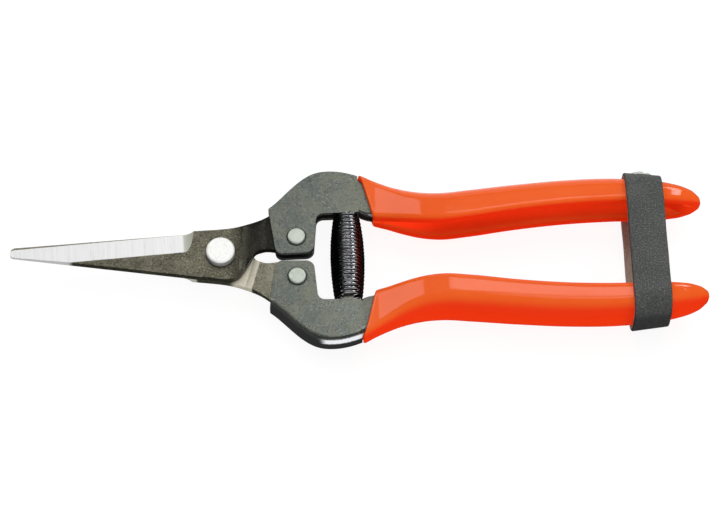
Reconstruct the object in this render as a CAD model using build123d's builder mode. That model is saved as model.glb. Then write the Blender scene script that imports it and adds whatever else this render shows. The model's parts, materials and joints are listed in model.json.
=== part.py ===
"""Floral snips: two pointed blades on a pivot bolt, riveted into folded channel handles with
vinyl-dipped grips, pushed open by a barrel spring and held shut by a leather strap.

Frame: origin under the middle of the closed snips, +X from the blade tips to the handle ends,
+Z up out of the flat side that the snips lie on. All sizes in millimetres.
Half +1 is the front blade with the upper (+Y) handle, half -1 the back blade with the lower one.
"""
import math
import os

from build123d import *

# ---- where the pieces stand ----
PIVOT_X = -37.2          # pivot axis, from the middle of the overall length
PIVOT_Y = 0.5
PIVOT_Z = 8.65           # plane between the blades, above the strap's underside
BLADE_TURN = -0.97       # the closed blades lie this many degrees off the +X axis
HANDLE_TURN = 1.65       # and the closed handles this many
HANDLE_DROP = 1.53       # handle axis below the pivot, at the pivot

# ---- blades ----
BLADE_T = 2.0
BLADE_GAP = 0.05         # half of the running gap between the two blades
EDGE_TIP = (-57.0, 0.93)
EDGE_HEEL = (-7.3, 6.80)
NOSE = (-57.75, -0.05)
SPINE_TIP = (-56.4, -1.74)
SPINE_REAR = (-5.3, -7.15)
EDGE_LAND = 0.2          # thickness left at the cutting edge
BEVEL_W = 6.2            # width of the ground bevel
BEVEL_END_X = -10.6      # where the grinding wheel lifts out
WHEEL_CORNER = 3.25      # its corner radius
JOGGLE_TURN = 14.0       # way the underside is bent, degrees round from the blade's line
JOGGLE_START = 8.85
JOGGLE_END = 10.95
SHOULDER_START = 5.2     # the outer face slopes down between these two
SHOULDER_END = 12.6
TANG_TOP = 1.0           # the tang lies between plus and minus this

# ---- pivot ----
BOLT_R = 2.45
BOLT_CLEARANCE = 0.05
HEAD_R = 3.9
HEAD_H = 2.5
WASHER_R = 4.6
WASHER_H = 0.6
NUT_FLATS = 7.0
NUT_H = 2.4

# ---- channel handles ----
SHEET = 1.2              # steel sheet
GAP_HALF = TANG_TOP      # half of the space between the flanges at the ear
EAR_HALF = GAP_HALF + SHEET
EAR_END = 38.0           # the thin part of the handle ends here
FOLD_R = 2.1             # round of the fold
FOLD_POINTS = [(13.2, 14.8), (17.6, 18.9), (22.0, 23.1), (26.1, 25.5), (29.8, 26.05),
               (34.0, 25.6), (EAR_END, 24.35)]
LIP_Y = 13.25            # lips of the thin part, from the handle axis
EAR_Y = 1.05             # lowest edge of the ear

# ---- tang rivets ----
TANG_RIVET_X = 20.8
TANG_RIVET_Y = 6.0
TANG_RIVET_R = 1.8
TANG_HEAD_R = 2.4
TANG_HEAD_H = 0.85
TANG_RING_R = 2.75       # shallow pressed ring round each head
TANG_RING_DEPTH = 0.25

# ---- vinyl grips: outer surface at stations along the handle ----
COAT = 1.0
GRIP_STATIONS = [        # x, lip, outer side, half thickness
    (38.0, 12.25, 25.35, 3.2),
    (42.0, 10.8, 23.3, 3.35),
    (46.0, 9.95, 21.4, 4.15),
    (50.0, 9.1, 19.8, 5.25),
    (55.0, 8.25, 18.5, 6.3),
    (60.5, 7.9, 18.05, 6.85),
    (68.0, 8.6, 18.65, 7.0),
    (80.0, 10.25, 19.85, 7.0),
    (95.0, 11.7, 20.9, 7.0),
    (108.0, 12.2, 20.95, 7.0),
    (118.0, 12.2, 19.95, 7.0),
    (124.0, 12.15, 18.95, 6.2),
    (128.0, 12.4, 17.7, 4.9),
    (130.5, 13.1, 16.3, 3.1),
    (131.8, 13.9, 15.1, 1.4),
]
STATION_STEP = 4.0       # sections are drawn this far apart, read off the curve through the stations
TIP_START = 118.0        # beyond this the inner layers are pulled back from the tip
GRIP_END = 131.8
GRIP_FRONT = [(37.9, 26.0), (40.6, 17.6), (42.3, 10.0)]   # arc where the coat begins
CORNER_BASE = 1.5        # round of the outer corners: base plus half of the half thickness
LIP_R = 1.5
INNER_COAT_START = 45.0  # nearer the ear the coat fills the space between the flanges

# ---- return spring ----
SPRING_X = 34.6
SPRING_HALF = 13.0
SPRING_WIRE = 0.9
SPRING_PROFILE = [(3.6, SPRING_HALF), (4.3, 9.5), (4.7, 5.0), (4.75, 0.0)]   # radius, height
TAB_W = 2.8              # tabs on the lips that hold the coil's ends
TAB_L = 3.0

# ---- strap ----
STRAP_X0 = 111.2
STRAP_X1 = 121.4
STRAP_T = 1.5
STRAP_IN_Y0 = 21.0       # inside half height at each edge
STRAP_IN_Y1 = 19.8
STRAP_IN_Z = 7.15
STRAP_CORNER = 5.1
STRAP_RIVET_R = 1.5
CAP_R = 4.0
CAP_H = 1.5
BURR_R = 2.5
BURR_H = 0.8


def half_plane(turn, drop, side):
    """Plane of one half: x along the tool, y towards that half's handle, z out of that half."""
    angle = math.radians(turn)
    return Plane(
        origin=(PIVOT_X, PIVOT_Y - drop, PIVOT_Z),
        x_dir=(math.cos(angle), math.sin(angle), 0),
        z_dir=(0, 0, side),
    )


def blade_plane(side, height=0.0):
    return half_plane(BLADE_TURN, 0.0, side).offset(height)


def handle_plane(side, height=0.0):
    return half_plane(HANDLE_TURN, HANDLE_DROP, side).offset(height)


def across_plane(side, x):
    """Plane across a handle at x: local x away from the other handle, local y out of the half."""
    base = handle_plane(side)
    return Plane(origin=base.from_local_coords((x, 0, 0)), x_dir=base.y_dir, z_dir=base.x_dir)


def rivet_plane(lift=0.0):
    """Plane along the strap where it lies on the upper grip, lift above its inner face."""
    base = handle_plane(1)
    middle = ((STRAP_X0 + STRAP_X1) / 2, (STRAP_IN_Y0 + STRAP_IN_Y1) / 2, 0)
    along = Vector(STRAP_X1 - STRAP_X0, STRAP_IN_Y1 - STRAP_IN_Y0, 0)
    x_dir = base.from_local_coords(along) - base.origin
    z_dir = Vector(0, 0, -1).cross(x_dir)
    return Plane(origin=base.from_local_coords(middle), x_dir=x_dir, z_dir=-z_dir).offset(lift)


# ---------------------------------------------------------------- blades
def make_blade(side):
    outer_face = BLADE_GAP + BLADE_T
    base = blade_plane(side)
    edge_angle = math.atan2(EDGE_HEEL[1] - EDGE_TIP[1], EDGE_HEEL[0] - EDGE_TIP[0])
    bevel_rise = BLADE_T - EDGE_LAND
    tilt = math.atan2(bevel_rise, BEVEL_W)
    along = Vector(math.cos(edge_angle), math.sin(edge_angle), 0)
    inwards = Vector(-math.sin(edge_angle), math.cos(edge_angle), 0)
    normal = inwards * math.sin(tilt) + Vector(0, 0, math.cos(tilt))
    heel = (EDGE_HEEL[0], EDGE_HEEL[1], BLADE_GAP + EDGE_LAND)
    bevel_plane = base * Location(Plane(origin=heel, x_dir=along, z_dir=along.cross(normal)))

    with BuildPart() as blade:
        with BuildSketch(blade_plane(side, -TANG_TOP)):
            with BuildLine():
                Line(EDGE_TIP, EDGE_HEEL)
                Spline(EDGE_HEEL, (-0.5, 7.38), (5.0, 8.4), (9.0, 10.05), (12.5, 12.1))
                Polyline((12.5, 12.1), (16.0, 14.6), (23.8, 14.6), (23.8, 3.0), (16.0, 1.7))
                Spline((16.0, 1.7), (14.3, 2.0), (12.2, 2.1), (10.3, 1.4), (9.0, -0.15))
                Polyline((9.0, -0.15), (7.3, -3.5), (5.6, -6.3))
                Spline((5.6, -6.3), (3.6, -7.45), (0.6, -7.65), SPINE_REAR)
                Line(SPINE_REAR, SPINE_TIP)
                ThreePointArc(SPINE_TIP, NOSE, EDGE_TIP)
            make_face()
        extrude(amount=TANG_TOP + outer_face)

        # underside: flat to the inner bend, then down to the tang
        turn = math.radians(JOGGLE_TURN)
        bend_dir = base.x_dir * math.cos(turn) + base.y_dir * math.sin(turn)
        with BuildSketch(Plane(origin=base.origin, x_dir=bend_dir, z_dir=bend_dir.cross(base.z_dir))):
            with BuildLine():
                Polyline((-70, BLADE_GAP), (JOGGLE_START, BLADE_GAP), (JOGGLE_END, -TANG_TOP),
                         (JOGGLE_END, -3), (-70, -3), close=True)
            make_face()
        extrude(amount=40, both=True, mode=Mode.SUBTRACT)

        # outer face: flat to the shoulder, then a soft slope down to the tang
        with BuildSketch(Plane(origin=base.origin, x_dir=base.x_dir, z_dir=-base.y_dir)):
            with BuildLine():
                Spline((SHOULDER_START, outer_face), (SHOULDER_END, TANG_TOP), tangents=((1, 0), (1, 0)))
                Polyline((SHOULDER_END, TANG_TOP), (40, TANG_TOP), (40, 4), (SHOULDER_START, 4),
                         (SHOULDER_START, outer_face))
            make_face()
        extrude(amount=40, both=True, mode=Mode.SUBTRACT)

        # ground bevel, with the run-out that the wheel's rounded corner leaves
        wheel_stop = BEVEL_END_X - EDGE_HEEL[0]
        with BuildSketch(bevel_plane):
            with BuildLine():
                Line((-60, 0), (wheel_stop, 0))
                JernArc((wheel_stop, 0), (1, 0), WHEEL_CORNER, 85)
                Polyline((wheel_stop + WHEEL_CORNER, WHEEL_CORNER), (wheel_stop + WHEEL_CORNER, 6),
                         (-60, 6), (-60, 0))
            make_hull()
        extrude(amount=14, both=True, mode=Mode.SUBTRACT)

        # pivot and rivet holes
        with Locations(base.offset(0)):
            Cylinder(BOLT_R + BOLT_CLEARANCE, 12, mode=Mode.SUBTRACT)
        with Locations(handle_plane(side)):
            with Locations((TANG_RIVET_X, TANG_RIVET_Y)):
                Cylinder(TANG_RIVET_R, 12, mode=Mode.SUBTRACT)
    return blade.part


# ---------------------------------------------------------------- handles
def fold_curve(inset):
    """Points of the handle's outer line, moved in by inset."""
    line = Edge.make_spline([Vector(*p) for p in FOLD_POINTS])
    steps = [i / 8 for i in range(9)]
    return [line.position_at(t) + line.tangent_at(t).rotate(Axis.Z, -90) * inset for t in steps]


def grip_size(x, column):
    """Lip height, outer height or half thickness at x, on a smooth curve through the stations."""
    count = len(GRIP_STATIONS)
    slopes = []
    for i in range(count):
        before = GRIP_STATIONS[max(i - 1, 0)]
        after = GRIP_STATIONS[min(i + 1, count - 1)]
        slopes.append((after[column] - before[column]) / (after[0] - before[0]))
    i = max(j for j in range(count - 1) if GRIP_STATIONS[j][0] <= x)
    start, end = GRIP_STATIONS[i], GRIP_STATIONS[i + 1]
    span = end[0] - start[0]
    t = (x - start[0]) / span
    rise = end[column] - start[column]
    bend = (1 - t) * (slopes[i] * span - rise) - t * (slopes[i + 1] * span - rise)
    return start[column] + rise * t + t * (1 - t) * bend


def section_positions():
    """Where the grip's sections are drawn, closer together at the tip."""
    even = [EAR_END + STATION_STEP * i for i in range(23)]
    return even + [x for x, *_ in GRIP_STATIONS if x > even[-1]]


def draw_section(low, high, thick, corner, lip_r):
    """Closed outline across a handle, rounded by corner at the far side and by lip_r at the lips."""
    start = (low + lip_r, -thick)
    side_line = Line(start, (high - corner, -thick))
    turn = JernArc(side_line @ 1, (1, 0), corner, 90)
    back = Line(turn @ 1, (high, thick - corner))
    turn = JernArc(back @ 1, (0, 1), corner, 90)
    side_line = Line(turn @ 1, (low + lip_r, thick))
    if lip_r:
        turn = JernArc(side_line @ 1, (-1, 0), lip_r, 90)
        mouth = Line(turn @ 1, (low, lip_r - thick))
        JernArc(mouth @ 1, (0, -1), lip_r, 90)
    else:
        Line(side_line @ 1, start)


def grip_body(side, depth, open_mouth, first_x):
    """Solid of the grip's stations, depth below the vinyl's surface; open ones run out of the mouth."""
    with BuildPart() as body:
        for x in section_positions():
            lip, outer, half = (grip_size(x, column) for column in (1, 2, 3))
            pull = max(0.0, (x - TIP_START) / (GRIP_END - TIP_START)) * depth
            thick = half - depth
            width = outer - lip - 2 * depth
            if x < first_x or min(thick, width) < 0.5:
                continue
            low = lip - 4.0 if open_mouth else lip + depth
            corner = min(max(CORNER_BASE + half / 2 - depth, 0.3), thick * 0.955, width * 0.62)
            lip_r = min(LIP_R, thick * 0.45, width * 0.3)
            with BuildSketch(across_plane(side, x - pull)):
                with BuildLine():
                    draw_section(low, outer - depth, thick, corner, 0 if open_mouth else lip_r)
                make_face()
        loft()
    return body.part


def make_channel(side):
    steel = grip_body(side, COAT, False, EAR_END)
    hollow = grip_body(side, COAT + SHEET, True, EAR_END)

    with BuildPart() as channel:
        with BuildSketch(handle_plane(side)) as ear:
            with BuildLine():
                Spline(*FOLD_POINTS)
                Polyline(FOLD_POINTS[-1], (EAR_END, LIP_Y), (26.4, LIP_Y - 0.2), (25.4, EAR_Y + 0.25),
                         (15.2, EAR_Y), FOLD_POINTS[0])
            make_face()
            fillet(ear.vertices().sort_by_distance((26.4, LIP_Y - 0.2))[0], 2.0)
            fillet(ear.vertices().sort_by_distance((25.4, EAR_Y + 0.25))[0], 2.4)
            fillet(ear.vertices().sort_by_distance((15.2, EAR_Y))[0], 2.0)
        extrude(amount=EAR_HALF, both=True)
        fillet(channel.edges().filter_by(GeomType.BSPLINE).sort_by(SortBy.LENGTH)[-2:], FOLD_R)
        add(steel)

        # space between the flanges
        with BuildSketch(handle_plane(side)):
            with BuildLine():
                inner = fold_curve(SHEET)
                lead = inner[0] - (inner[1] - inner[0]).normalized() * 5
                Line(lead, inner[0])
                Spline(*inner)
                Polyline(inner[-1], (EAR_END, -3), (lead.X, -3), lead)
            make_face()
        extrude(amount=GAP_HALF, both=True, mode=Mode.SUBTRACT)
        add(hollow, mode=Mode.SUBTRACT)

        # tabs that stand in the ends of the spring
        for height in (GAP_HALF, -EAR_HALF):
            with BuildSketch(handle_plane(side, height)) as tab:
                with Locations((SPRING_X, LIP_Y - TAB_L / 2 + 0.5)):
                    Rectangle(TAB_W, TAB_L + 1.0)
                fillet(tab.vertices().group_by(Axis.Y)[0], 1.0)
            extrude(amount=SHEET)

        # tang rivet: hole, and a shallow ring pressed round each head
        with Locations(handle_plane(side)):
            with Locations((TANG_RIVET_X, TANG_RIVET_Y)):
                Cylinder(TANG_RIVET_R, 12, mode=Mode.SUBTRACT)
            for height in (EAR_HALF, -EAR_HALF):
                with Locations((TANG_RIVET_X, TANG_RIVET_Y, height)):
                    Cylinder(TANG_RING_R, 2 * TANG_RING_DEPTH, mode=Mode.SUBTRACT)
        if side > 0:
            with Locations(rivet_plane()):
                Cylinder(STRAP_RIVET_R, 16, mode=Mode.SUBTRACT)
    return channel.part


def make_grip(side, channel):
    skin = grip_body(side, 0.0, False, EAR_END)
    hollow = grip_body(side, 2 * COAT + SHEET, True, INNER_COAT_START)

    with BuildPart() as grip:
        add(skin)
        add(hollow, mode=Mode.SUBTRACT)
        with BuildSketch(handle_plane(side)):
            with BuildLine():
                ThreePointArc(*GRIP_FRONT)
                Polyline(GRIP_FRONT[-1], (30, 0), (30, 30), GRIP_FRONT[0])
            make_face()
        extrude(amount=10, both=True, mode=Mode.SUBTRACT)
        add(channel, mode=Mode.SUBTRACT)
        if side > 0:
            with Locations(rivet_plane()):
                Cylinder(STRAP_RIVET_R, 16, mode=Mode.SUBTRACT)
    return grip.part


def make_tang_rivet(side):
    seat = EAR_HALF - TANG_RING_DEPTH
    with BuildPart() as rivet:
        with BuildSketch(handle_plane(side, -seat)):
            with Locations((TANG_RIVET_X, TANG_RIVET_Y)):
                Circle(TANG_RIVET_R - 0.02)
        extrude(amount=2 * seat)
        with BuildSketch(handle_plane(side, seat)):
            with Locations((TANG_RIVET_X, TANG_RIVET_Y)):
                Circle(TANG_HEAD_R)
        extrude(amount=TANG_HEAD_H + TANG_RING_DEPTH)
        with BuildSketch(handle_plane(side, -seat)):
            with Locations((TANG_RIVET_X, TANG_RIVET_Y)):
                Circle(TANG_HEAD_R)
        extrude(amount=-(TANG_HEAD_H + TANG_RING_DEPTH))
        rims = rivet.edges().filter_by(GeomType.CIRCLE).group_by(Axis.Z)
        fillet(rims[0] + rims[-1], 0.45)
    return rivet.part


# ---------------------------------------------------------------- pivot, spring and strap
def make_pivot_bolt():
    top = BLADE_GAP + BLADE_T
    end = top + BLADE_GAP + WASHER_H + NUT_H + 0.4
    with BuildPart() as bolt:
        with BuildSketch(blade_plane(1, -end)):
            Circle(BOLT_R)
        extrude(amount=end + top)
        chamfer(bolt.edges().group_by(Axis.Z)[0], 0.4)
        with BuildSketch(blade_plane(1, top)):
            Circle(HEAD_R)
        extrude(amount=HEAD_H)
        chamfer(bolt.edges().group_by(Axis.Z)[-1], 0.4)
    return bolt.part


def make_pivot_washer():
    with BuildPart() as washer:
        with BuildSketch(blade_plane(1, -(2 * BLADE_GAP + BLADE_T + WASHER_H))):
            Circle(WASHER_R)
            Circle(BOLT_R + BOLT_CLEARANCE, mode=Mode.SUBTRACT)
        extrude(amount=WASHER_H)
        chamfer(washer.edges().group_by(SortBy.LENGTH)[-1], 0.15)
    return washer.part


def make_pivot_nut():
    under_washer = 2 * BLADE_GAP + BLADE_T + WASHER_H
    with BuildPart() as nut:
        with BuildSketch(blade_plane(1, -(under_washer + NUT_H))):
            RegularPolygon(NUT_FLATS / 2, 6, major_radius=False)
        extrude(amount=NUT_H)
        chamfer(nut.edges().group_by(Axis.Z)[0], 0.4)
        with Locations(blade_plane(1)):
            Cylinder(BOLT_R + 0.02, 20, mode=Mode.SUBTRACT)
    return nut.part


def make_spring():
    base = handle_plane(1)
    with BuildPart() as spring:
        with BuildSketch(base):
            with BuildLine():
                half_line = [(SPRING_X + r, h) for r, h in SPRING_PROFILE]
                mirrored = [(x, -h) for x, h in reversed(half_line[:-1])]
                outside = half_line + mirrored
                inside = [(x - SPRING_WIRE, h) for x, h in reversed(outside)]
                Spline(*outside)
                Line(outside[-1], inside[0])
                Spline(*inside)
                Line(inside[-1], outside[0])
            make_face()
        revolve(axis=Axis(base.from_local_coords((SPRING_X, 0, 0)), base.y_dir))
    return spring.part


def strap_block(grow):
    """Block that fills the strap's loop, grown outwards by grow: its sides close in towards the tip."""
    base = handle_plane(1)
    high, low = STRAP_IN_Y0 + grow, STRAP_IN_Y1 + grow
    with BuildPart() as block:
        with BuildSketch(base):
            Polygon((STRAP_X0, -high), (STRAP_X1, -low), (STRAP_X1, low), (STRAP_X0, high), align=None)
        extrude(amount=STRAP_IN_Z + grow, both=True)
        fillet(block.edges().filter_by(lambda edge: abs(edge.tangent_at(0.5).dot(base.x_dir)) > 0.9),
               STRAP_CORNER + grow)
    return block.part


def make_strap():
    with BuildPart() as strap:
        add(strap_block(STRAP_T))
        add(strap_block(0.0), mode=Mode.SUBTRACT)
        with Locations(rivet_plane()):
            Cylinder(STRAP_RIVET_R, 16, mode=Mode.SUBTRACT)
    return strap.part


def wall_depth():
    """From the strap's inner face down to the floor of the upper grip's hollow, under the rivet."""
    middle = (STRAP_X0 + STRAP_X1) / 2
    return (STRAP_IN_Y0 + STRAP_IN_Y1) / 2 - grip_size(middle, 2) + 2 * COAT + SHEET + 0.15


def make_strap_rivet():
    """Domed cap on the strap, with its shank through strap, coat and channel."""
    cap_sphere = (CAP_R ** 2 + CAP_H ** 2) / (2 * CAP_H)
    rim = STRAP_T + 0.5
    end = -(wall_depth() + BURR_H + 0.4)
    face = rivet_plane()
    with BuildPart() as rivet:
        with BuildSketch(Plane(origin=face.origin, x_dir=face.x_dir, z_dir=-face.y_dir)):
            with BuildLine():
                Polyline((0, end), (STRAP_RIVET_R, end), (STRAP_RIVET_R, STRAP_T),
                         (CAP_R, STRAP_T), (CAP_R, rim))
                RadiusArc((CAP_R, rim), (0, rim + CAP_H), -cap_sphere)
                Line((0, rim + CAP_H), (0, end))
            make_face()
        revolve(axis=Axis(face.origin, face.z_dir))
    return rivet.part


def make_strap_burr():
    with BuildPart() as burr:
        with BuildSketch(rivet_plane(-wall_depth())):
            Circle(BURR_R)
            Circle(STRAP_RIVET_R, mode=Mode.SUBTRACT)
        extrude(amount=-BURR_H)
    return burr.part


if __name__ == "__main__":
    os.makedirs("parts", exist_ok=True)
    built = {}
    for side, blade_name, half_name in ((1, "front_blade", "upper"), (-1, "back_blade", "lower")):
        channel = make_channel(side)
        built[blade_name] = make_blade(side)
        built[half_name + "_channel"] = channel
        built[half_name + "_tang_rivet"] = make_tang_rivet(side)
        built[half_name + "_grip"] = make_grip(side, channel)
    built["pivot_bolt"] = make_pivot_bolt()
    built["pivot_washer"] = make_pivot_washer()
    built["pivot_nut"] = make_pivot_nut()
    built["return_spring"] = make_spring()
    built["strap"] = make_strap()
    built["strap_rivet"] = make_strap_rivet()
    built["strap_burr"] = make_strap_burr()
    for name, part in built.items():
        part.label = name
        export_step(part, f"parts/{name}.step")
        box = part.bounding_box()
        print(f"{name:18s} solids {len(part.solids())}  volume {part.volume:8.1f}"
              f"  X {box.min.X:7.2f} {box.max.X:7.2f}  Y {box.min.Y:7.2f} {box.max.Y:7.2f}"
              f"  Z {box.min.Z:6.2f} {box.max.Z:6.2f}")
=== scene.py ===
"""Looks of the floral snips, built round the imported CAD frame. Lengths in metres."""

import json
import math

import bpy
import numpy as np
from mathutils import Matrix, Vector


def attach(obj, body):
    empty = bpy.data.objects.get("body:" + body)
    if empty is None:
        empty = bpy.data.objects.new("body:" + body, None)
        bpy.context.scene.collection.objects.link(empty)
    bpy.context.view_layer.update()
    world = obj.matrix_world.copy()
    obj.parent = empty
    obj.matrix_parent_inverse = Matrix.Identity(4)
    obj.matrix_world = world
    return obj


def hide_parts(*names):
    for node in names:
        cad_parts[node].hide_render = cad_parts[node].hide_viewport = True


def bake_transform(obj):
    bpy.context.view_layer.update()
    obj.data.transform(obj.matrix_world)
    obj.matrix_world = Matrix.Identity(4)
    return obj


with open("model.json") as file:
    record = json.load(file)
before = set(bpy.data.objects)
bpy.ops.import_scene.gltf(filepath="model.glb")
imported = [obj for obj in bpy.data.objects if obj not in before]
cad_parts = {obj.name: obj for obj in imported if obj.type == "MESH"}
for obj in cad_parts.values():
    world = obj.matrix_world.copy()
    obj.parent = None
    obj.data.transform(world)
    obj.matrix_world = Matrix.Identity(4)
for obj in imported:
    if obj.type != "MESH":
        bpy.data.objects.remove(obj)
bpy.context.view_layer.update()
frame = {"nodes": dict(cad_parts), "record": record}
nodes = frame["nodes"]
MM = 0.001

# ---- the snips' own axes, as the CAD places them ----
joint = next(j for j in frame["record"]["behaviour"]["joints"] if j["name"] == "pivot")
PIVOT = np.array(joint["pos_m"]) / MM
BLADE_TURN = math.radians(-0.97)
HANDLE_TURN = math.radians(1.65)
HANDLE_DROP = 1.53
TO_STRIP = (0, 0.45, 0.89)    # from the snips roughly towards the strip light


def place(points, side, turn, drop):
    """Points in one half's own axes, in mm, to the row frame, in metres."""
    p = np.asarray(points, float).reshape(-1, 3)
    c, s = math.cos(turn), math.sin(turn)
    x = c * p[:, 0] - s * side * p[:, 1]
    y = s * p[:, 0] + c * side * p[:, 1]
    return np.stack([x + PIVOT[0], y + PIVOT[1] - drop, side * p[:, 2] + PIVOT[2]], 1) * MM


def handle(points, side=1):
    return place(points, side, HANDLE_TURN, HANDLE_DROP)


# ---------------------------------------------------------------- mesh helpers
def add_mesh(name, verts, faces, material, smooth=True, flip=False):
    mesh = bpy.data.meshes.new(name)
    if flip:
        faces = [tuple(reversed(f)) for f in faces]
    mesh.from_pydata([tuple(v) for v in verts], [], faces)
    mesh.validate()
    mesh.update()
    obj = bpy.data.objects.new(name, mesh)
    bpy.context.scene.collection.objects.link(obj)
    obj.data.materials.append(material)
    if smooth:
        mesh.shade_smooth()
    return obj


def grid_faces(rows, cols, close_rows=False):
    """Quads over rows x cols points, closed round each row."""
    faces = []
    for i in range(rows if close_rows else rows - 1):
        near = i * cols
        far = ((i + 1) % rows) * cols
        for j in range(cols):
            after = (j + 1) % cols
            faces.append((near + j, near + after, far + after, far + j))
    return faces


def smoothstep(a, b, x):
    t = np.clip((x - a) / (b - a), 0, 1)
    return t * t * (3 - 2 * t)


# ---------------------------------------------------------------- materials
def new_material(name):
    mat = bpy.data.materials.new(name)
    mat.use_nodes = True
    tree = mat.node_tree
    tree.nodes.clear()
    out = tree.nodes.new("ShaderNodeOutputMaterial")
    bsdf = tree.nodes.new("ShaderNodeBsdfPrincipled")
    tree.links.new(bsdf.outputs[0], out.inputs[0])
    return mat, tree, bsdf


class Tree:
    """Small helper for wiring shader nodes."""

    def __init__(self, tree):
        self.tree = tree

    def put(self, socket, value):
        if isinstance(value, bpy.types.NodeSocket):
            self.tree.links.new(value, socket)
        else:
            socket.default_value = value

    def coords(self):
        return self.tree.nodes.new("ShaderNodeTexCoord").outputs["Object"]

    def facing(self, kind="Normal"):
        return self.tree.nodes.new("ShaderNodeNewGeometry").outputs[kind]

    def mapping(self, vector, scale=(1, 1, 1), rotation=(0, 0, 0)):
        n = self.tree.nodes.new("ShaderNodeMapping")
        self.put(n.inputs["Vector"], vector)
        self.put(n.inputs["Scale"], scale)
        self.put(n.inputs["Rotation"], rotation)
        return n.outputs[0]

    def noise(self, vector, scale, detail=3.0, rough=0.5, distortion=0.0):
        n = self.tree.nodes.new("ShaderNodeTexNoise")
        self.put(n.inputs["Vector"], vector)
        self.put(n.inputs["Scale"], scale)
        self.put(n.inputs["Detail"], detail)
        self.put(n.inputs["Roughness"], rough)
        self.put(n.inputs["Distortion"], distortion)
        return n.outputs[0]

    def voronoi(self, vector, scale):
        n = self.tree.nodes.new("ShaderNodeTexVoronoi")
        self.put(n.inputs["Vector"], vector)
        self.put(n.inputs["Scale"], scale)
        return n.outputs[0]

    def math(self, op, a, b=0.0):
        n = self.tree.nodes.new("ShaderNodeMath")
        n.operation = op
        self.put(n.inputs[0], a)
        self.put(n.inputs[1], b)
        return n.outputs[0]

    def dot(self, vector, direction):
        n = self.tree.nodes.new("ShaderNodeVectorMath")
        n.operation = "DOT_PRODUCT"
        self.put(n.inputs[0], vector)
        self.put(n.inputs[1], direction)
        return n.outputs["Value"]

    def ramp(self, value, low, high, to_low=0.0, to_high=1.0):
        n = self.tree.nodes.new("ShaderNodeMapRange")
        n.interpolation_type = "SMOOTHSTEP"
        self.put(n.inputs["Value"], value)
        self.put(n.inputs["From Min"], low)
        self.put(n.inputs["From Max"], high)
        self.put(n.inputs["To Min"], to_low)
        self.put(n.inputs["To Max"], to_high)
        return n.outputs[0]

    def mix(self, factor, a, b):
        n = self.tree.nodes.new("ShaderNodeMix")
        n.data_type = "RGBA"
        self.put(n.inputs[0], factor)
        self.put(n.inputs[6], a)
        self.put(n.inputs[7], b)
        return n.outputs[2]

    def mixf(self, factor, a, b):
        n = self.tree.nodes.new("ShaderNodeMix")
        n.data_type = "FLOAT"
        self.put(n.inputs[0], factor)
        self.put(n.inputs[2], a)
        self.put(n.inputs[3], b)
        return n.outputs[0]

    def bump(self, height, strength, distance):
        n = self.tree.nodes.new("ShaderNodeBump")
        self.put(n.inputs["Height"], height)
        self.put(n.inputs["Strength"], strength)
        self.put(n.inputs["Distance"], distance)
        return n.outputs[0]

    def ao(self, distance):
        n = self.tree.nodes.new("ShaderNodeAmbientOcclusion")
        n.samples = 8
        self.put(n.inputs["Distance"], distance)
        return n.outputs["AO"]


def rgb(r, g, b):
    """An sRGB colour, 0 to 255, as linear."""
    out = []
    for c in (r, g, b):
        c = c / 255
        out.append(c / 12.92 if c <= 0.04045 else ((c + 0.055) / 1.055) ** 2.4)
    return (*out, 1.0)


def vinyl_material():
    mat, tree, bsdf = new_material("vinyl")
    t = Tree(tree)
    at = t.coords()
    cloud = t.noise(at, 60.0, 3, 0.5)
    fine = t.noise(at, 900.0, 2, 0.5)
    waves = t.noise(t.mapping(at, (1.0, 2.4, 2.4)), 110.0, 2, 0.5)
    color = t.mix(t.ramp(cloud, 0.3, 0.7), rgb(236, 92, 34), rgb(239, 99, 40))
    # painted shade: faces turned away from the strip light get a deeper red, and the specular level
    # follows the same facing
    lit = t.dot(t.facing(), TO_STRIP)
    color = t.mix(t.ramp(lit, 0.0, 0.7, 1.0, 0.0), color, rgb(246, 56, 16))
    t.put(bsdf.inputs["Base Color"], color)
    t.put(bsdf.inputs["Roughness"], t.ramp(cloud, 0.25, 0.75, 0.05, 0.075))
    t.put(bsdf.inputs["Specular IOR Level"], t.ramp(lit, 0.55, 0.85, 0.03, 0.25))
    # painted light: the hollow glows orange-red where ambient occlusion is deep, standing in for light
    # bounced inside it
    t.put(bsdf.inputs["Emission Color"], rgb(224, 58, 24))
    t.put(bsdf.inputs["Emission Strength"], t.ramp(t.ao(0.008), 0.3, 0.8, 0.42, 0.0))
    t.put(bsdf.inputs["Subsurface Weight"], 0.05)
    t.put(bsdf.inputs["Subsurface Radius"], (0.9, 0.25, 0.08))
    t.put(bsdf.inputs["Subsurface Scale"], 0.0012)
    height = t.math("ADD", waves, t.math("MULTIPLY", fine, 0.05))
    t.put(bsdf.inputs["Normal"], t.bump(height, 0.14, 0.0002))
    return mat


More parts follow.
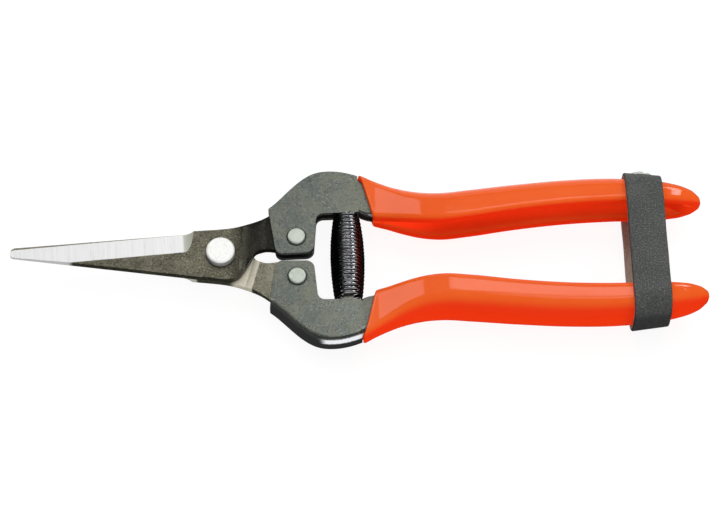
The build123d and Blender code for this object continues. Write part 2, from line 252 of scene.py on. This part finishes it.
def channel_material():
    mat, tree, bsdf = new_material("channel_steel")
    t = Tree(tree)
    at = t.coords()
    stain = t.noise(at, 1900.0, 4, 0.7, 0.2)
    blotch = t.noise(at, 150.0, 4, 0.6, 0.5)
    grain = t.noise(at, 3200.0, 3, 0.6)
    pits = t.voronoi(at, 1300.0)
    color = t.mix(t.ramp(blotch, 0.3, 0.7), rgb(120, 127, 123), rgb(136, 138, 125))
    color = t.mix(t.ramp(stain, 0.5, 0.7, 0.0, 0.7), color, rgb(70, 74, 68))
    color = t.mix(t.ramp(stain, 0.28, 0.46, 0.55, 0.0), color, rgb(178, 180, 162))
    # painted highlight: the rounded folds, tilted away from the flat faces, get a near-white, polished
    # finish
    facing = t.facing()
    painted_tilt_mask = t.ramp(t.math("ABSOLUTE", t.dot(facing, (0, 0, 1))), 0.72, 0.96, 1.0, 0.0)
    color = t.mix(painted_tilt_mask, color, rgb(236, 237, 240))
    # painted shade: near black where ambient occlusion is deep, in creases and corners
    color = t.mix(t.ramp(t.ao(0.0012), 0.35, 0.95, 0.85, 0.0), color, rgb(18, 18, 17))
    t.put(bsdf.inputs["Base Color"], color)
    t.put(bsdf.inputs["Metallic"], t.mixf(painted_tilt_mask, 0.9, 1.0))
    t.put(bsdf.inputs["Roughness"], t.mixf(painted_tilt_mask, t.ramp(blotch, 0.3, 0.7, 0.24, 0.32), 0.18))
    height = t.math("ADD", t.math("MULTIPLY", grain, 0.6), t.math("MULTIPLY", pits, 0.5))
    t.put(bsdf.inputs["Normal"], t.bump(height, 0.35, 0.00005))
    return mat


def blade_material(side):
    """Dark forged blank, and a bright ground bevel along the cutting edge."""
    mat, tree, bsdf = new_material("blade_steel_front" if side > 0 else "blade_steel_back")
    t = Tree(tree)
    at = t.coords()
    tip, heel = place([(-57.0, 0.93, 0), (-7.3, 6.8, 0)], side, BLADE_TURN, 0.0)
    along = (heel - tip) / np.linalg.norm(heel - tip)
    across = np.array([-along[1], along[0], 0]) * side
    # distance in from the cutting edge, and past the bevel's heel, in mm
    depth = t.math("SUBTRACT", float(across @ tip), t.dot(at, tuple(across)))
    depth = t.math("MULTIPLY", depth, 1000.0)
    run = t.math("SUBTRACT", t.dot(at, tuple(along)), float(along @ heel))
    run = t.math("MULTIPLY", run, 1000.0)
    wander = t.math("MULTIPLY", t.math("SUBTRACT", t.noise(at, 300.0, 2), 0.5), 0.5)
    on_bevel = t.ramp(t.math("ADD", depth, wander), 6.05, 6.45, 1.0, 0.0)
    before_end = t.ramp(t.math("ADD", run, wander), 0.6, 1.3, 1.0, 0.0)
    flat = t.ramp(t.math("ABSOLUTE", t.dot(t.facing("True Normal"), (0, 0, 1))), 0.98, 0.992)
    ground = t.math("MULTIPLY", on_bevel, before_end)
    ground = t.math("MULTIPLY", ground, t.math("SUBTRACT", 1.0, flat))

    combine = tree.nodes.new("ShaderNodeCombineXYZ")
    t.put(combine.inputs[0], run)
    t.put(combine.inputs[1], t.math("MULTIPLY", depth, 0.03))
    strokes = t.noise(combine.outputs[0], 2.6, 3, 0.7)
    strokes_wide = t.noise(combine.outputs[0], 0.9, 3, 0.7)
    mill = t.noise(t.mapping(at, (0.5, 1.0, 1.0)), 1400.0, 4, 0.65)
    cloud = t.noise(at, 130.0, 4, 0.6, 0.4)

    bright = t.mix(t.ramp(strokes_wide, 0.35, 0.65), rgb(244, 245, 244), rgb(254, 254, 254))
    bright = t.mix(t.ramp(strokes, 0.55, 0.75, 0.0, 0.6), bright, rgb(205, 204, 200))
    # painted shade: the bevel's run-out at its heel is painted a flat grey and made less metallic
    run_out = t.ramp(run, -3.7, -3.2)
    bright = t.mix(run_out, bright, rgb(196, 197, 184))
    if side > 0:
        low, high = rgb(112, 110, 93), rgb(134, 131, 113)
    else:
        low, high = rgb(144, 142, 124), rgb(166, 163, 144)
    dark = t.mix(t.ramp(cloud, 0.3, 0.7), low, high)
    speck = t.noise(at, 2100.0, 3, 0.7)
    dark = t.mix(t.ramp(speck, 0.5, 0.68, 0.0, 0.8), dark, rgb(56, 54, 42))
    dark = t.mix(t.ramp(speck, 0.3, 0.46, 0.7, 0.0), dark, rgb(196, 190, 168))
    # distance from the pivot along and across the snips, in mm
    past = t.math("SUBTRACT", t.dot(at, (1, 0, 0)), float(PIVOT[0] * MM))
    past = t.math("MULTIPLY", past, 1000.0)
    aside = t.math("SUBTRACT", t.dot(at, (0, 1, 0)), float(PIVOT[1] * MM))
    aside = t.math("MULTIPLY", aside, 1000.0)
    if side > 0:
        # painted dark reflection: darkened towards the tang, where the bent shoulder mirrors a dark
        # surround
        painted_slope_light = 0.0
        dark = t.mix(t.ramp(past, 0.5, 8.5, 0.0, 0.9), dark, rgb(26, 26, 25))
    else:
        # painted highlight: a pale cream, less metallic band over the back blade's bent slope, beside the
        # front blade's heel
        bend = t.math("SUBTRACT", t.math("MULTIPLY", past, 0.97), t.math("MULTIPLY", aside, 0.245))
        painted_slope_light = t.math("MULTIPLY", t.ramp(bend, 4.0, 6.0), t.ramp(bend, 10.75, 11.0, 1.0, 0.0))
        dark = t.mix(painted_slope_light, dark, rgb(212, 206, 186))
    color = t.mix(ground, dark, bright)
    # painted shade: near black in creases, from ambient occlusion, eased on the painted slope band
    crease_shade = t.ramp(t.ao(0.001), 0.3, 0.9, 0.8, 0.0)
    crease_shade = t.math("MULTIPLY", crease_shade, t.math("SUBTRACT", 1.0, t.math("MULTIPLY", painted_slope_light, 0.6)))
    color = t.mix(crease_shade, color, rgb(14, 14, 13))
    t.put(bsdf.inputs["Base Color"], color)
    metal = t.mixf(painted_slope_light, t.mixf(ground, 0.92, 0.45), 0.2)
    t.put(bsdf.inputs["Metallic"], t.mixf(t.math("MULTIPLY", ground, run_out), metal, 0.15))
    t.put(bsdf.inputs["Roughness"], t.mixf(ground, t.ramp(cloud, 0.3, 0.7, 0.26, 0.36), 0.3))
    height = t.mixf(ground, t.math("MULTIPLY", mill, 0.4), strokes)
    t.put(bsdf.inputs["Normal"], t.bump(height, 0.3, 0.00004))
    return mat


def bright_material(name, light, dark, rough, metal):
    """Bright fittings, with painted shade on their upright sides."""
    mat, tree, bsdf = new_material(name)
    t = Tree(tree)
    at = t.coords()
    cloud = t.noise(at, 420.0, 4, 0.6, 0.4)
    scuff = t.noise(t.mapping(at, (1.0, 0.3, 1.0), (0, 0, 0.7)), 2600.0, 3, 0.6)
    facing = t.facing()
    # painted shade: upright sides, tilted away from straight up, get a darker grey
    painted_tilt_mask = t.ramp(t.math("ABSOLUTE", t.dot(facing, (0, 0, 1))), 0.3, 0.85, 0.75, 0.0)
    color = t.mix(t.ramp(cloud, 0.35, 0.7), light, dark)
    t.put(bsdf.inputs["Base Color"], t.mix(painted_tilt_mask, color, rgb(128, 130, 130)))
    t.put(bsdf.inputs["Metallic"], metal)
    t.put(bsdf.inputs["Roughness"], t.ramp(scuff, 0.3, 0.7, rough - 0.05, rough + 0.08))
    t.put(bsdf.inputs["Normal"], t.bump(scuff, 0.05, 0.00002))
    return mat


def spring_material():
    mat, tree, bsdf = new_material("black_spring")
    t = Tree(tree)
    at = t.coords()
    dust = t.noise(at, 700.0, 3, 0.6)
    facing = t.facing()
    oxide_and_shade = t.mix(t.ramp(dust, 0.4, 0.7), rgb(184, 185, 188), rgb(128, 128, 131))
    # painted shade: the sides turned to the right and left are painted near black over the oxide colour
    oxide_and_shade = t.mix(t.ramp(t.dot(facing, (1, 0, 0)), 0.35, 0.6), oxide_and_shade, rgb(12, 12, 12))
    oxide_and_shade = t.mix(t.ramp(t.dot(facing, (-1, 0, 0)), 0.1, 0.4), oxide_and_shade, rgb(22, 22, 22))
    t.put(bsdf.inputs["Base Color"], oxide_and_shade)
    t.put(bsdf.inputs["Metallic"], 1.0)
    t.put(bsdf.inputs["Roughness"], t.ramp(dust, 0.3, 0.7, 0.14, 0.26))
    return mat


def leather_material():
    """Grained dark leather, with the paler flesh side inside and on the cut edges."""
    mat, tree, bsdf = new_material("leather")
    t = Tree(tree)
    at = t.coords()
    outer = tree.nodes.new("ShaderNodeAttribute")
    outer.attribute_name = "grain_side"
    side = outer.outputs["Fac"]
    pebble = t.voronoi(at, 1900.0)
    small = t.noise(at, 2600.0, 3, 0.6)
    cloud = t.noise(at, 160.0, 4, 0.6)
    grain = t.mix(t.ramp(cloud, 0.3, 0.7), rgb(62, 65, 63), rgb(74, 76, 74))
    grain = t.mix(t.ramp(small, 0.5, 0.66, 0.0, 0.75), grain, rgb(38, 40, 39))
    grain = t.mix(t.ramp(small, 0.34, 0.46, 0.65, 0.0), grain, rgb(122, 123, 119))
    # painted shade: the grain side is darker where it turns away from straight up
    facing = t.facing()
    under = t.ramp(t.dot(facing, (0, 0.3, 0.95)), -0.2, 0.9, 0.7, 0.0)
    grain = t.mix(under, grain, rgb(30, 31, 31))
    flesh = t.mix(t.ramp(small, 0.35, 0.7), rgb(128, 128, 116), rgb(164, 163, 150))
    t.put(bsdf.inputs["Base Color"], t.mix(t.ramp(side, 0.35, 0.75), flesh, grain))
    t.put(bsdf.inputs["Roughness"], t.mixf(side, 0.85, t.ramp(small, 0.3, 0.7, 0.46, 0.6)))
    t.put(bsdf.inputs["Specular IOR Level"], 0.4)
    height = t.math("ADD", t.math("MULTIPLY", pebble, 0.8), t.math("MULTIPLY", small, 0.7))
    t.put(bsdf.inputs["Normal"], t.bump(height, 0.5, 0.00018))
    return mat


VINYL = vinyl_material()
CHANNEL = channel_material()
BRIGHT = bright_material("bright_steel", rgb(207, 214, 203), rgb(186, 196, 181), 0.34, 0.4)
HEAD = bright_material("pivot_steel", rgb(255, 255, 252), rgb(252, 252, 249), 0.3, 0.15)
SPRING = spring_material()
LEATHER = leather_material()

# ---------------------------------------------------------------- steel pieces: the CAD solids
# name, material, slot, width of the broken edges in mm
for name, material, slot_name, width in (
    ("front_blade", blade_material(1), "blade_steel", 0.12),
    ("back_blade", blade_material(-1), "blade_steel", 0.12),
    ("upper_channel", CHANNEL, "channel_steel", 0.28),
    ("lower_channel", CHANNEL, "channel_steel", 0.28),
    ("upper_tang_rivet", BRIGHT, "bright_steel", 0.0),
    ("lower_tang_rivet", BRIGHT, "bright_steel", 0.0),
    ("pivot_bolt", HEAD, "bright_steel", 0.1),
    ("pivot_washer", BRIGHT, "bright_steel", 0.05),
    ("pivot_nut", BRIGHT, "bright_steel", 0.1),
    ("strap_rivet", BRIGHT, "bright_steel", 0.1),
    ("strap_burr", BRIGHT, "bright_steel", 0.05),
):
    node = nodes[name]
    node.data.materials.clear()
    node.data.materials.append(material)
    if width:
        weld = node.modifiers.new("weld", "WELD")
        weld.merge_threshold = 1e-6
        bevel = node.modifiers.new("edges", "BEVEL")
        bevel.width = width * MM
        bevel.segments = 2
        bevel.limit_method = "ANGLE"
        bevel.angle_limit = math.radians(32)
        bevel.use_clamp_overlap = True
        bevel.harden_normals = False

# ---------------------------------------------------------------- vinyl grips
STATIONS = np.array([   # x, lip, outer side, half thickness
    (37.0, 12.6, 25.6, 3.2),
    (38.0, 12.25, 25.35, 3.2),
    (42.0, 10.8, 23.3, 3.35),
    (46.0, 9.95, 21.4, 4.15),
    (50.0, 9.1, 19.8, 5.25),
    (55.0, 8.25, 18.5, 6.3),
    (60.5, 7.9, 18.05, 6.85),
    (68.0, 8.6, 18.65, 7.0),
    (80.0, 10.25, 19.85, 7.0),
    (95.0, 11.7, 20.9, 7.0),
    (108.0, 12.2, 20.95, 7.0),
    (118.0, 12.2, 19.95, 7.0),
    (124.0, 12.15, 19.0, 6.25),
    (128.0, 12.3, 17.95, 5.15),
    (130.4, 12.75, 16.85, 3.85),
    (131.6, 13.2, 15.95, 2.6),
])
FRONT_ARC = np.array([(37.9, 26.0), (40.6, 17.6), (42.3, 10.0)])
COAT_START = 38.25       # the first ring, before it is bent to the arc
WALL = 3.2               # vinyl, sheet and vinyl together
SPLITS = (5, 6, 8, 6, 6, 10, 12, 6)   # points along each stretch of half an outline


def size_at(x):
    """Lip, outer side and half thickness at x."""
    xs = STATIONS[:, 0]
    x = np.clip(x, xs[0], xs[-1])
    slopes = np.gradient(STATIONS[:, 1:], xs, axis=0)
    i = np.clip(np.searchsorted(xs, x, side="right") - 1, 0, len(xs) - 2)
    span = (xs[i + 1] - xs[i])[..., None]
    t = ((x - xs[i]) / (xs[i + 1] - xs[i]))[..., None]
    a, b = STATIONS[i, 1:], STATIONS[i + 1, 1:]
    rise = b - a
    bend = (1 - t) * (slopes[i] * span - rise) - t * (slopes[i + 1] * span - rise)
    return a + rise * t + t * (1 - t) * bend


def section(x, inset):
    """Closed outline across a grip at each x, as y and z. inset draws the vinyl's outer skin in."""
    lip, outer, half = (v[:, None] for v in size_at(x).T)
    x = x[:, None]
    width = outer - lip
    corner = np.minimum(np.minimum(1.5 + half * 0.62, half * 0.955), width * 0.62)
    wall = np.minimum(WALL, half)
    nose = np.minimum(wall / 2, width * 0.3)
    deep = smoothstep(43.5, 50.0, x) * smoothstep(129.5, 121.5, x)
    inner = half - wall
    floor = lip + (width - WALL) * deep
    inner_r = np.minimum(np.minimum(1.6, inner * 0.6), np.maximum(floor - lip - nose, 0.0) * 0.5)
    low, high, flank = lip + inset, outer - inset, half - inset
    round_out = np.maximum(corner - inset, 0.05)
    round_y = np.maximum(corner * 0.76 - inset, 0.05)
    nose_out = np.maximum(nose - inset, 0.05)
    groove = smoothstep(38.0, 44.0, x) * smoothstep(131.0, 127.0, x)

    def line(y0, z0, y1, z1, n):
        t = np.arange(n)[None, :] / n
        return y0 + (y1 - y0) * t, z0 + (z1 - z0) * t

    def arc(cy, cz, ry, rz, a0, a1, n):
        a = np.radians(a0 + (a1 - a0) * np.arange(n)[None, :] / n)
        return cy + ry * np.sin(a), cz + rz * np.cos(a)

    def quarter(n):
        return np.radians(90 * np.arange(n)[None, :] / n)

    zero = x * 0
    nose_y = low + nose_out
    in_nose_y = low + nose * groove
    parts = [
        line(floor, zero, floor, np.maximum(inner - inner_r, 0), SPLITS[0]),
        arc(floor - inner_r, inner - inner_r, inner_r, inner_r, 90, 0, SPLITS[1]),
        line(floor - inner_r, inner, np.minimum(in_nose_y, floor - inner_r), inner, SPLITS[2]),
    ]
    a = quarter(SPLITS[3])
    mid = flank - nose_out
    parts.append((low + (in_nose_y - low) * (1 - np.sin(a)), inner + (mid - inner) * (1 - np.cos(a))))
    a = quarter(SPLITS[4])
    parts.append((low + nose_out * (1 - np.cos(a)), mid + nose_out * np.sin(a)))
    parts.append(line(nose_y, flank, high - round_y, flank, SPLITS[5]))
    a = quarter(SPLITS[6])
    parts.append((high - round_y + round_y * np.sin(a), flank - round_out + round_out * np.cos(a)))
    parts.append(line(high, flank - round_out, high, zero, SPLITS[7]))
    y = np.concatenate([p[0] + zero for p in parts] + [high], 1)
    z = np.concatenate([p[1] + zero for p in parts] + [zero], 1)
    y = np.concatenate([y, y[:, -2:0:-1]], 1)
    z = np.concatenate([z, -z[:, -2:0:-1]], 1)
    return y, z


def front_edge(y):
    """Where the coat begins, at height y: an arc across the handle."""
    fit = np.polyfit(FRONT_ARC[:, 1], FRONT_ARC[:, 0], 2)
    return np.polyval(fit, np.clip(y, 9.0, 26.5))


def grip_mesh(side):
    xs = np.concatenate([np.arange(0, 91.0, 0.8), np.linspace(91.2, 93.35, 10)]) + COAT_START
    rings = []
    # the rounded rim where the coat begins
    for start, inset in ((0.05, 1.02), (0.0, 0.55), (0.06, 0.28), (0.22, 0.09), (0.5, 0.0)):
        rings.append((COAT_START + start, inset))
    rings += [(x, 0.0) for x in xs[1:]]
    verts = []
    for x0, inset in rings:
        y, _ = section(np.array([x0]), 0.0)
        offset = front_edge(y[0]) - COAT_START
        x = x0 + offset * smoothstep(58.0, COAT_START, x0)
        # read the outline again where each point has moved to
        yy, zz = section(x, inset)
        k = np.arange(len(x))
        verts.append(np.stack([x, yy[k, k], zz[k, k]], 1))
    count = len(verts[0])
    last = verts[-1]
    middle = last.mean(0)
    # the rounded tip
    for grow, push in ((0.9, 0.26), (0.74, 0.49), (0.54, 0.68), (0.34, 0.8), (0.16, 0.87)):
        ring = middle + (last - middle) * grow
        ring[:, 0] = last[:, 0] + push
        verts.append(ring)
    rows = len(verts)
    flat = np.concatenate(verts + [[middle + np.array([0.9, 0, 0])]])
    faces = grid_faces(rows, count)
    end = rows * count
    faces += [((rows - 1) * count + j, (rows - 1) * count + (j + 1) % count, end) for j in range(count)]
    name = "upper_vinyl" if side > 0 else "lower_vinyl"
    return add_mesh(name, handle(flat, side), faces, VINYL, flip=True)


for side, name, body in ((1, "upper_grip", "upper_half"), (-1, "lower_grip", "lower_half")):
    grip = grip_mesh(side)
    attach(grip, body)
    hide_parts(name)


# ---------------------------------------------------------------- return spring: a barrel coil
SPRING_X = 34.6


def spring_mesh():
    """A coil of round wire; wire is its radius, per_turn and around the points along and round it."""
    wire, turns, length, per_turn, around = 0.44, 22.9, 26.0, 40, 12
    steps = int(turns * per_turn)
    t = np.linspace(0, 1, steps + 1)
    angle = 2 * math.pi * turns * t + 0.9
    # the end coils lie closer together
    ease = t + 0.012 * np.sin(2 * math.pi * t)
    y = length / 2 - wire - (length - 2 * wire) * ease
    radius = np.interp(y, [-13, -9.5, -5, 0, 5, 9.5, 13], [3.3, 3.78, 4.15, 4.29, 4.12, 3.66, 3.12])
    # evened out over two turns
    window = 2 * per_turn + 1
    radius = np.convolve(np.pad(radius, per_turn, "edge"), np.ones(window) / window, "valid")
    path = np.stack([SPRING_X + radius * np.cos(angle), y, radius * np.sin(angle)], 1)
    tangent = np.gradient(path, axis=0)
    tangent /= np.linalg.norm(tangent, axis=1)[:, None]
    out = np.stack([np.cos(angle), np.zeros_like(angle), np.sin(angle)], 1)
    up = np.cross(tangent, out)
    up /= np.linalg.norm(up, axis=1)[:, None]
    phi = 2 * math.pi * np.arange(around) / around
    ring = np.cos(phi)[None, :, None] * out[:, None, :] + np.sin(phi)[None, :, None] * up[:, None, :]
    flat = (path[:, None, :] + wire * ring).reshape(-1, 3)
    faces = grid_faces(steps + 1, around)
    faces.append(tuple(range(around)))
    faces.append(tuple(reversed(range(steps * around, (steps + 1) * around))))
    return add_mesh("spring_coil", handle(flat), faces, SPRING)


coil = spring_mesh()
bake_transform(coil)
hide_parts("return_spring")


# ---------------------------------------------------------------- leather strap
def strap_mesh():
    x0, x1, thick = 111.2, 121.4, 1.5
    y0, y1, half_z, corner = 21.0, 19.8, 7.15, 5.1
    # a unit walk round the loop: (height factor, corner offset y, z)
    loop = []
    for (sy, sz, first), (next_y, next_z) in zip(
        ((1, 1, 90), (-1, 1, 0), (-1, -1, 90), (1, -1, 0)), ((-1, 1), (-1, -1), (1, -1), (1, 1))
    ):
        for a in np.radians(np.linspace(first, 90 - first, 15)):
            loop.append((sy, sz, math.sin(a), math.cos(a)))
        steps = 46 if first else 12
        for k in range(1, steps):
            f = k / steps
            if first:
                loop.append((sy + (next_y - sy) * f, sz, 0.0, 1.0))
            else:
                loop.append((sy, sz + (next_z - sz) * f, 1.0, 0.0))
    loop = np.array(loop)
    # cross-section of the band: along x, then outwards, with worn edges
    edge = 0.42
    profile = []
    for cx, cn, a0 in ((1, 1, 0), (0, 1, 90), (0, 0, 180), (1, 0, 270)):
        for a in np.radians(np.linspace(a0, a0 + 90, 5)):
            px = (1 - edge / (x1 - x0) if cx else edge / (x1 - x0)) + edge / (x1 - x0) * math.cos(a)
            pn = (thick - edge if cn else edge) + edge * math.sin(a)
            profile.append((px, pn))
    dense = []
    for i, p in enumerate(profile):
        q = profile[(i + 1) % len(profile)]
        steps = 14 if abs(p[0] - q[0]) > 0.5 else 1
        for k in range(steps):
            dense.append((p[0] + (q[0] - p[0]) * k / steps, p[1] + (q[1] - p[1]) * k / steps))
    profile = np.array(dense)
    verts = []
    grain = []    # 1 on the grain side, 0 on the flesh side
    for i, (fy, sz, ny, nz) in enumerate(loop):
        # the cut edges are not quite straight
        wobble = 0.10 * math.sin(i * 0.11) + 0.06 * math.sin(i * 0.29 + 1.3)
        for px, pn in profile:
            x = x0 + (x1 - x0) * px
            height = y0 + (y1 - y0) * px
            reach = corner + pn
            if abs(fy) == 1 and abs(sz) == 1:
                y = fy * (height - corner + reach * ny)
                z = sz * (half_z - corner + reach * nz)
            elif abs(sz) == 1:
                y = fy * (height - corner)
                z = sz * (half_z + pn)
            else:
                y = fy * (height + pn)
                z = sz * (half_z - corner)
            x += wobble * 0.6
            verts.append((x, y, z))
            grain.append(min(max((pn - edge * 0.55) / (thick - edge * 0.9), 0.0), 1.0))
    rows, cols = len(loop), len(profile)
    faces = grid_faces(rows, cols, close_rows=True)
    obj = add_mesh("strap_band", handle(verts), faces, LEATHER, flip=True)
    attribute = obj.data.attributes.new("grain_side", "FLOAT", "POINT")
    attribute.data.foreach_set("value", np.array(grain, dtype=np.float32))
    return obj


strap = strap_mesh()
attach(strap, "upper_half")
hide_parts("strap")

# ---------------------------------------------------------------- stage, light and camera
floor_mat, floor_tree, floor_bsdf = new_material("floor")
ft = Tree(floor_tree)
ft.put(floor_bsdf.inputs["Base Color"], (0.14, 0.14, 0.14, 1.0))
ft.put(floor_bsdf.inputs["Roughness"], ft.ramp(ft.noise(ft.coords(), 20.0, 3), 0.3, 0.7, 0.8, 0.9))
ft.put(floor_bsdf.inputs["Specular IOR Level"], 0.1)
ft.put(floor_bsdf.inputs["Emission Color"], (1.0, 1.0, 1.0, 1.0))
ft.put(floor_bsdf.inputs["Emission Strength"], 0.91)
corners = [(-3, -3, 0), (3, -3, 0), (3, 3, 0), (-3, 3, 0)]
floor = add_mesh("floor", corners, [(0, 1, 2, 3)], floor_mat, smooth=False)
floor.location.z = -0.0004    # just under the strap
floor.visible_glossy = False

# the studio seen in the steel: bright walls behind and in front, dark to the left, a mid ceiling,
# and two small bright panels high behind, leaf to the left and lip a little to the right
world = bpy.data.worlds.new("studio")
bpy.context.scene.world = world
world.use_nodes = True
wt = Tree(world.node_tree)
background = world.node_tree.nodes["Background"]
direction = world.node_tree.nodes.new("ShaderNodeTexCoord").outputs["Generated"]
right = wt.dot(direction, (1, 0, 0))
back = wt.dot(direction, (0, 1, 0))
up = wt.dot(direction, (0, 0, 1))
not_left = wt.ramp(right, -0.3, -0.17)
wall = wt.math("MULTIPLY", wt.ramp(back, 0.58, 0.7), wt.ramp(up, 0.56, 0.66, 1.0, 0.0))
wall = wt.math("MULTIPLY", wall, wt.ramp(right, 0.08, 0.2, 1.0, 0.25))
front = wt.math("MULTIPLY", wt.ramp(back, -0.4, -0.25, 1.0, 0.0), wt.ramp(up, 0.56, 0.7, 1.0, 0.0))
front = wt.math("MULTIPLY", front, wt.ramp(up, -0.55, -0.35))
sides = wt.math("MULTIPLY", wt.math("MAXIMUM", wall, front), not_left)
ceiling = wt.ramp(wt.dot(direction, (-0.1, 0.446, 0.889)), 0.945, 0.985, 0.0, 0.42)
leaf = wt.math("MULTIPLY", wt.ramp(back, 0.34, 0.37), wt.ramp(back, 0.53, 0.56, 1.0, 0.0))
leaf = wt.math("MULTIPLY", leaf, wt.ramp(right, -0.27, -0.245, 3.4, 0.0))
leaf = wt.math("MULTIPLY", leaf, wt.ramp(up, 0.3, 0.45))
lip = wt.math("MULTIPLY", wt.ramp(back, 0.1, 0.14), wt.ramp(back, 0.33, 0.36, 1.0, 0.0))
lip_width = wt.math("MULTIPLY", wt.ramp(right, 0.03, 0.06, 0.0, 3.0), wt.ramp(right, 0.2, 0.26, 1.0, 0.0))
lip = wt.math("MULTIPLY", wt.math("MULTIPLY", lip, lip_width), wt.ramp(up, 0.8, 0.88))
level = wt.math("MAXIMUM", wt.math("MAXIMUM", ceiling, leaf), wt.math("MAXIMUM", sides, lip))
level = wt.math("ADD", level, 0.03)
wt.put(background.inputs["Color"], (1.0, 1.0, 1.0, 1.0))
wt.put(background.inputs["Strength"], level)


def softbox(name, at, size, radiance, target=(0, 0, 0), mirrored=True):
    light = bpy.data.lights.new(name, "AREA")
    light.shape = "RECTANGLE"
    light.size, light.size_y = size
    light.energy = radiance * math.pi * size[0] * size[1]
    obj = bpy.data.objects.new(name, light)
    obj.location = at
    obj.rotation_euler = (Vector(target) - Vector(at)).to_track_quat("-Z", "Y").to_euler()
    obj.visible_glossy = mirrored
    bpy.context.scene.collection.objects.link(obj)


softbox("strip", (0.074, 0.2120, 0.46), (0.132, 0.0324), 4.5, target=(0.05, -0.015, 0.0157))
softbox("key", (0.45, 0.45, 0.52), (0.2, 0.2), 12.0)
softbox("dome", (0.1, 0.2, 1.1), (1.6, 1.6), 1.2, mirrored=False)
softbox("fill", (0.0, -0.9, 0.35), (1.2, 0.5), 1.0, mirrored=False)

camera_data = bpy.data.cameras.new("camera")
camera_data.sensor_width = 36.0
camera_data.lens = 135.0
camera_data.clip_start = 0.01
camera = bpy.data.objects.new("camera", camera_data)
aim = Vector((0.0, 0.00157, 0.00865))
elevation = math.radians(63.5)
distance = 0.733
camera.location = aim + distance * Vector((0, -math.cos(elevation), math.sin(elevation)))
camera.rotation_euler = (aim - camera.location).to_track_quat("-Z", "Y").to_euler()
bpy.context.scene.collection.objects.link(camera)
bpy.context.scene.camera = camera
bpy.context.scene.view_settings.view_transform = "Standard"
